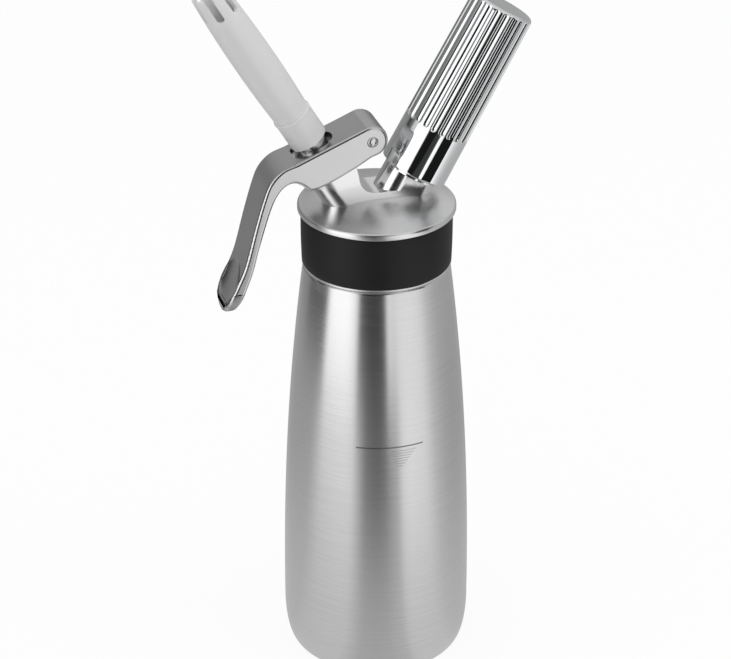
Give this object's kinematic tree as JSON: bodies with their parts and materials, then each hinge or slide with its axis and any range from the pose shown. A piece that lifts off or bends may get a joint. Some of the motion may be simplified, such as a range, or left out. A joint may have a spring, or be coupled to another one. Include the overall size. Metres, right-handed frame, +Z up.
{
  "type": "whipped cream dispenser",
  "caption": "Steel bottle with a screw-on domed head, lever valve under a slotted white nozzle, black grip band, and a fluted chrome gas charger holder leaning the other way.",
  "frame": {"origin": "centre of the bottle's flat foot, on the surface it stands on", "axes": "+Z up along the bottle's axis, +X towards the charger holder, -X towards the lever and nozzle, +Y to the back"},
  "size_m": [0.1367, 0.0792, 0.3067],
  "materials": {
    "bottle_steel": "brushed round the bottle",
    "head_steel": "polished",
    "band_rubber": "matt",
    "gasket_rubber": "smooth",
    "seal_rubber": "smooth",
    "lever_steel": "satin",
    "pin_steel": "turned",
    "brass": "turned",
    "white_plastic": "smooth",
    "nozzle_plastic": "moulded, slightly translucent",
    "holder_chrome": "mirror",
    "liner_plastic": "moulded",
    "charger_steel": "plated"
  },
  "bodies": {
    "bottle": {"bottle": "bottle_steel"},
    "gasket": {"head_gasket": "gasket_rubber"},
    "head": {"head": "head_steel", "grip_band": "band_rubber", "valve_bush": "brass", "valve_spring": "pin_steel", "port_gasket": "gasket_rubber", "piercing_insert": "brass", "piercing_needle": "pin_steel", "needle_gasket": "seal_rubber", "check_valve": "seal_rubber"},
    "lever": {"lever": "lever_steel", "pivot_pin": "pin_steel", "pivot_washers": "white_plastic"},
    "valve": {"valve_stem": "pin_steel", "stem_o_ring": "seal_rubber", "valve_seal": "seal_rubber", "seal_cap": "pin_steel", "nozzle_adapter": "pin_steel"},
    "nozzle_core": {"nozzle_insert": "pin_steel"},
    "nozzle": {"nozzle": "nozzle_plastic"},
    "charger": {"gas_charger": "charger_steel", "charger_foil": "charger_steel"},
    "holder": {"charger_holder": "holder_chrome", "holder_liner": "liner_plastic"}
  },
  "joints": [
    {"name": "head_lift", "type": "slide", "parent": "bottle", "child": "gasket", "axis": [0, 0, 1], "range_m": [0, 0.008]},
    {"name": "head_turn", "type": "hinge", "parent": "gasket", "child": "head", "pos_m": [0, 0, 0.2065], "axis": [0, 0, 1], "range_deg": [0, 720]},
    {"name": "lever_press", "type": "hinge", "parent": "head", "child": "lever", "pos_m": [-0.0048, 0, 0.2369], "axis": [0, -1, 0], "range_deg": [0, 8], "stiffness_Nm_per_rad": 1, "springref_deg": -6.88},
    {"name": "valve_slide", "type": "slide", "parent": "head", "child": "valve", "axis": [0.515, 0, -0.8572], "range_m": [0, 0.0018], "deforming": ["valve_spring"]},
    {"name": "nozzle_draw", "type": "slide", "parent": "valve", "child": "nozzle_core", "axis": [-0.515, 0, 0.8572], "range_m": [0, 0.01]},
    {"name": "nozzle_turn", "type": "hinge", "parent": "nozzle_core", "child": "nozzle", "pos_m": [-0.0097, 0, 0.2065], "axis": [-0.515, 0, 0.8572], "range_deg": [0, 1440]},
    {"name": "charger_draw", "type": "slide", "parent": "head", "child": "charger", "axis": [0.4863, 0, 0.8738], "range_m": [0, 0.01]},
    {"name": "holder_turn", "type": "hinge", "parent": "charger", "child": "holder", "pos_m": [0.0088, 0, 0.2065], "axis": [0.4863, 0, 0.8738], "range_deg": [0, 1800]}
  ],
  "couplings": [
    {"joint": "head_lift", "follows": "head_turn", "m_per_rad": 0.00063662},
    {"joint": "valve_slide", "follows": "lever_press", "m_per_rad": 0.0126},
    {"joint": "nozzle_turn", "follows": "nozzle_draw", "rad_per_m": 2513.2},
    {"joint": "holder_turn", "follows": "charger_draw", "rad_per_m": 3141.5}
  ]
}
